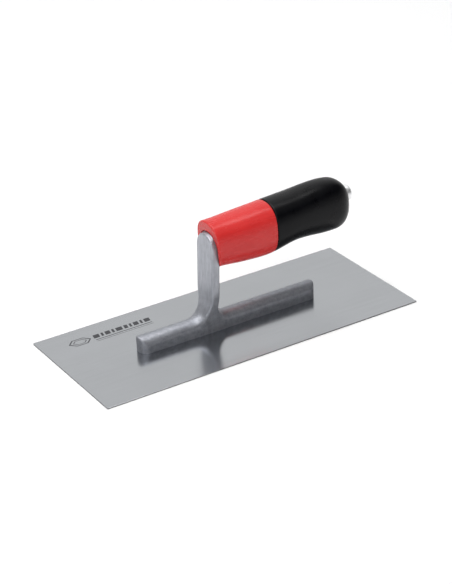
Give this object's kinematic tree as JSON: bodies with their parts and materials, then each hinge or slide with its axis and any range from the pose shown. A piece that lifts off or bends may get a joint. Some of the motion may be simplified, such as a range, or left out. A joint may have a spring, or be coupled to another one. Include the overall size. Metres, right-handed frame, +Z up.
{
  "type": "plasterer's finishing trowel",
  "caption": "Flat rectangular steel trowel blade riveted to a cast foot and post, with a two-part closed handle set above the blade.",
  "frame": {"origin": "centre of the blade's underside, which is its working face", "axes": "+X along the blade's length towards the rear end of the handle, +Y across the blade, +Z up from the working face to the handle"},
  "size_m": [0.28, 0.12, 0.0977],
  "materials": {
    "stainless_blade": "fine satin stainless, brushed along the length",
    "cast_aluminium": "tumbled casting, satin",
    "rivet_steel": "ground flush with the blade",
    "red_plastic": "smooth moulded plastic, soft gloss",
    "black_rubber": "smooth moulded soft grip, semi-gloss",
    "plated_steel": "bright nickel plate"
  },
  "bodies": {
    "root": {"blade": "stainless_blade", "mounting": "cast_aluminium", "blade_rivet_1": "rivet_steel", "blade_rivet_2": "rivet_steel", "blade_rivet_3": "rivet_steel", "blade_rivet_4": "rivet_steel", "blade_rivet_5": "rivet_steel", "blade_rivet_6": "rivet_steel", "blade_rivet_7": "rivet_steel", "handle_core": "red_plastic", "rear_grip": "black_rubber", "screw_washer": "plated_steel", "handle_screw": "plated_steel"}
  },
  "joints": []
}
